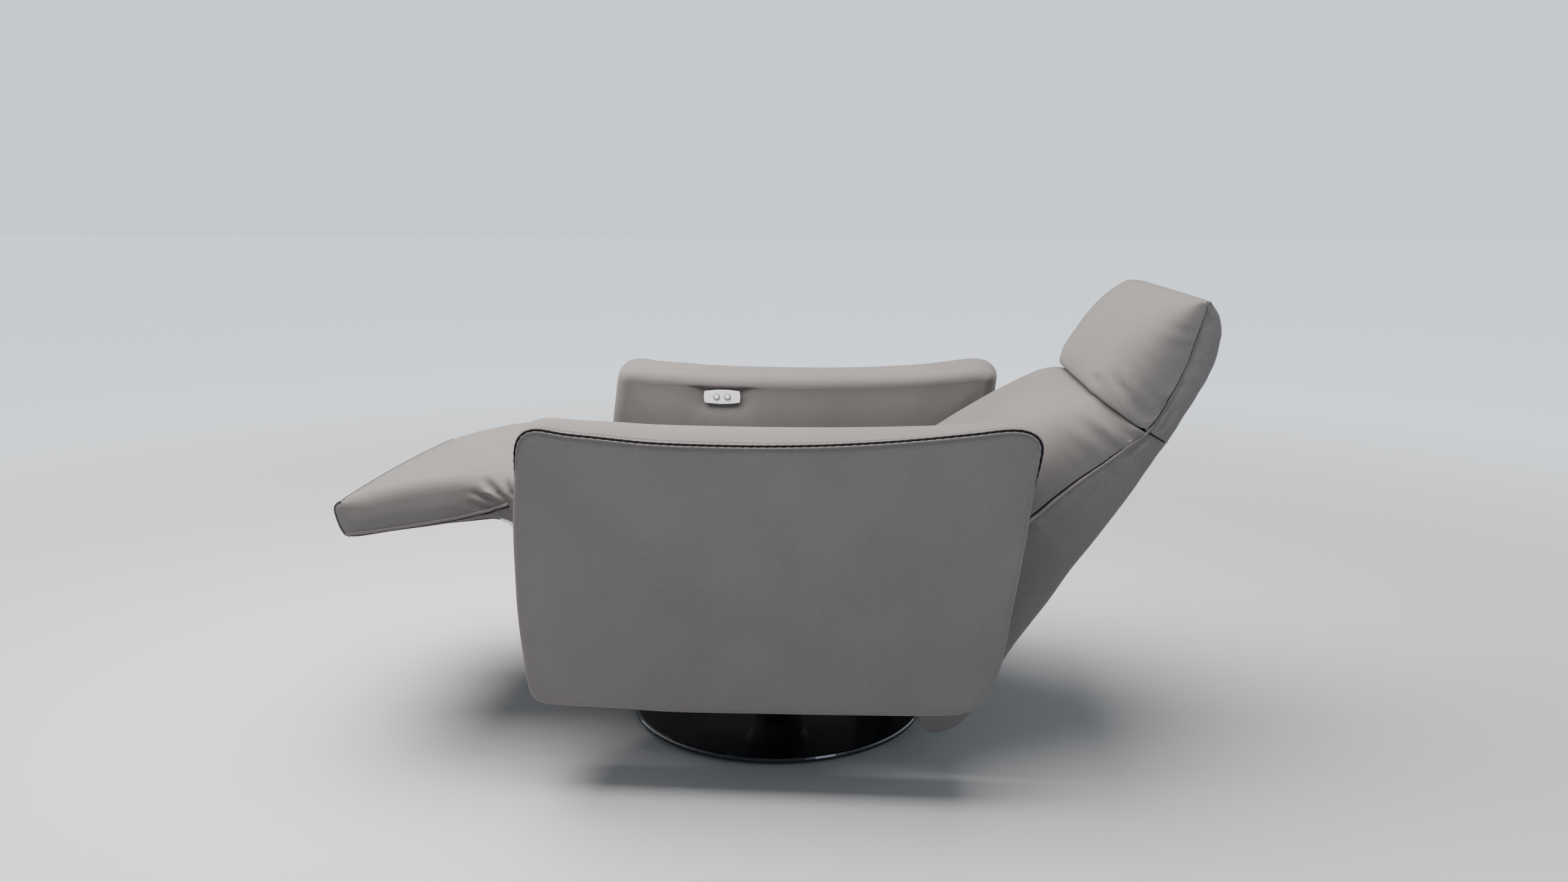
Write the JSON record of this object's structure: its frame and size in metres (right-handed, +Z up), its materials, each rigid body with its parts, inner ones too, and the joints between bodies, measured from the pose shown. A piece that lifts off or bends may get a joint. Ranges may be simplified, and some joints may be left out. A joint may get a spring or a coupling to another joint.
{
  "type": "recliner armchair",
  "caption": "Low padded swivel recliner armchair on a round disc base, with fold-out footrest, laid-back wedge back, tilting head cushion and push-button drive.",
  "frame": {"origin": "on the swivel axis, at the flat underside of the floor pad", "axes": "+Z up; the chair faces -Y; the sitter's left is +X"},
  "size_m": [0.812, 1.4438, 0.799],
  "materials": {
    "leather": "warm grey-taupe brushed leather, soft sheen",
    "gloss_black": "high gloss black",
    "black_steel": "satin black powder coat",
    "zinc_steel": "bright zinc",
    "plywood": "raw plywood",
    "black_plastic": "matte black",
    "silver_plate": "satin silver",
    "floor_rubber": "matte"
  },
  "bodies": {
    "base": {"floor_pad": "floor_rubber", "base_disc": "gloss_black", "swivel_post": "black_steel", "base_bolt_1": "zinc_steel", "base_bolt_2": "zinc_steel", "base_bolt_3": "zinc_steel"},
    "frame": {"turntable": "black_steel", "cross_beam_front": "black_steel", "cross_beam_rear": "black_steel", "side_rail_left": "black_steel", "side_rail_right": "black_steel", "slide_rail_left": "zinc_steel", "slide_rail_right": "zinc_steel", "arm_strap_left": "black_steel", "arm_strap_right": "black_steel", "arm_pad_left": "leather", "arm_pad_right": "leather", "arm_panel_left": "plywood", "arm_panel_right": "plywood", "power_supply": "black_plastic", "actuator_track": "black_plastic", "actuator_motor": "black_plastic", "switch_housing": "black_plastic", "control_plate": "silver_plate"},
    "seat": {"seat_plate_left": "zinc_steel", "seat_plate_right": "zinc_steel", "seat_runner_left": "black_steel", "seat_runner_right": "black_steel", "seat_front_tube": "zinc_steel", "seat_rear_tube": "zinc_steel", "seat_cross_tube": "zinc_steel", "seat_rail_front": "plywood", "seat_rail_rear": "plywood", "seat_spring_1": "zinc_steel", "seat_spring_2": "zinc_steel", "seat_spring_3": "zinc_steel", "seat_spring_4": "zinc_steel", "seat_cushion": "leather", "actuator_carriage": "zinc_steel"},
    "back": {"back_shell": "leather", "lumbar_cushion": "leather", "back_upright_left": "zinc_steel", "back_upright_right": "zinc_steel", "back_crossbar": "zinc_steel", "back_bracket_left": "black_steel", "back_bracket_right": "black_steel", "back_top_bar": "zinc_steel"},
    "headrest": {"headrest_cushion": "leather", "headrest_frame": "zinc_steel"},
    "footrest": {"footrest_cushion": "leather", "footrest_board": "plywood", "footrest_hinge_left": "black_steel", "footrest_hinge_right": "black_steel", "footrest_lug": "black_steel"},
    "footrest_drive": {"drive_shaft": "black_steel"},
    "footrest_links": {"footrest_link": "black_steel"},
    "back_rockers": {"back_rocker_left": "black_steel", "back_rocker_right": "black_steel"},
    "button_open": {"button_open": "silver_plate"},
    "button_close": {"button_close": "silver_plate"}
  },
  "joints": [
    {"name": "base_swivel", "type": "hinge", "parent": "base", "child": "frame", "pos_m": [0, 0, 0.06], "axis": [0, 0, 1], "continuous": true},
    {"name": "seat_slide", "type": "slide", "parent": "frame", "child": "seat", "axis": [0, 0.9063, -0.4226], "range_m": [0, 0.045]},
    {"name": "back_recline", "type": "hinge", "parent": "seat", "child": "back", "pos_m": [0, 0.225, 0.27], "axis": [1, 0, 0], "range_deg": [0, 28.05]},
    {"name": "headrest_tilt", "type": "hinge", "parent": "back", "child": "headrest", "pos_m": [0, 0.628, 0.584], "axis": [1, 0, 0], "range_deg": [-28, 0]},
    {"name": "footrest_fold", "type": "hinge", "parent": "seat", "child": "footrest", "pos_m": [0, -0.432, 0.428], "axis": [1, 0, 0], "range_deg": [0, 80.05]},
    {"name": "drive_turn", "type": "hinge", "parent": "seat", "child": "footrest_drive", "pos_m": [0, -0.3, 0.32], "axis": [1, 0, 0], "range_deg": [0, 109.1]},
    {"name": "footrest_link_turn", "type": "hinge", "parent": "footrest", "child": "footrest_links", "pos_m": [0, -0.556, 0.398], "axis": [1, 0, 0], "range_deg": [-89.65, 0]},
    {"name": "back_rocker_turn", "type": "hinge", "parent": "frame", "child": "back_rockers", "pos_m": [0, 0.221, 0.13], "axis": [1, 0, 0], "range_deg": [-66.3, 0]},
    {"name": "button_open_press", "type": "slide", "parent": "frame", "child": "button_open", "axis": [-1, 0, 0], "range_m": [0, 0.0015], "stiffness_N_per_m": 300, "springref_m": -0.001},
    {"name": "button_close_press", "type": "slide", "parent": "frame", "child": "button_close", "axis": [-1, 0, 0], "range_m": [0, 0.0015], "stiffness_N_per_m": 300, "springref_m": -0.001}
  ],
  "couplings": [
    {"joint": "back_recline", "follows": "seat_slide", "rad_per_m": 10.86},
    {"joint": "footrest_fold", "follows": "seat_slide", "rad_per_m": 31.028},
    {"joint": "drive_turn", "follows": "seat_slide", "rad_per_m": 42.295},
    {"joint": "footrest_link_turn", "follows": "seat_slide", "rad_per_m": -34.744},
    {"joint": "back_rocker_turn", "follows": "seat_slide", "rad_per_m": -25.68}
  ]
}
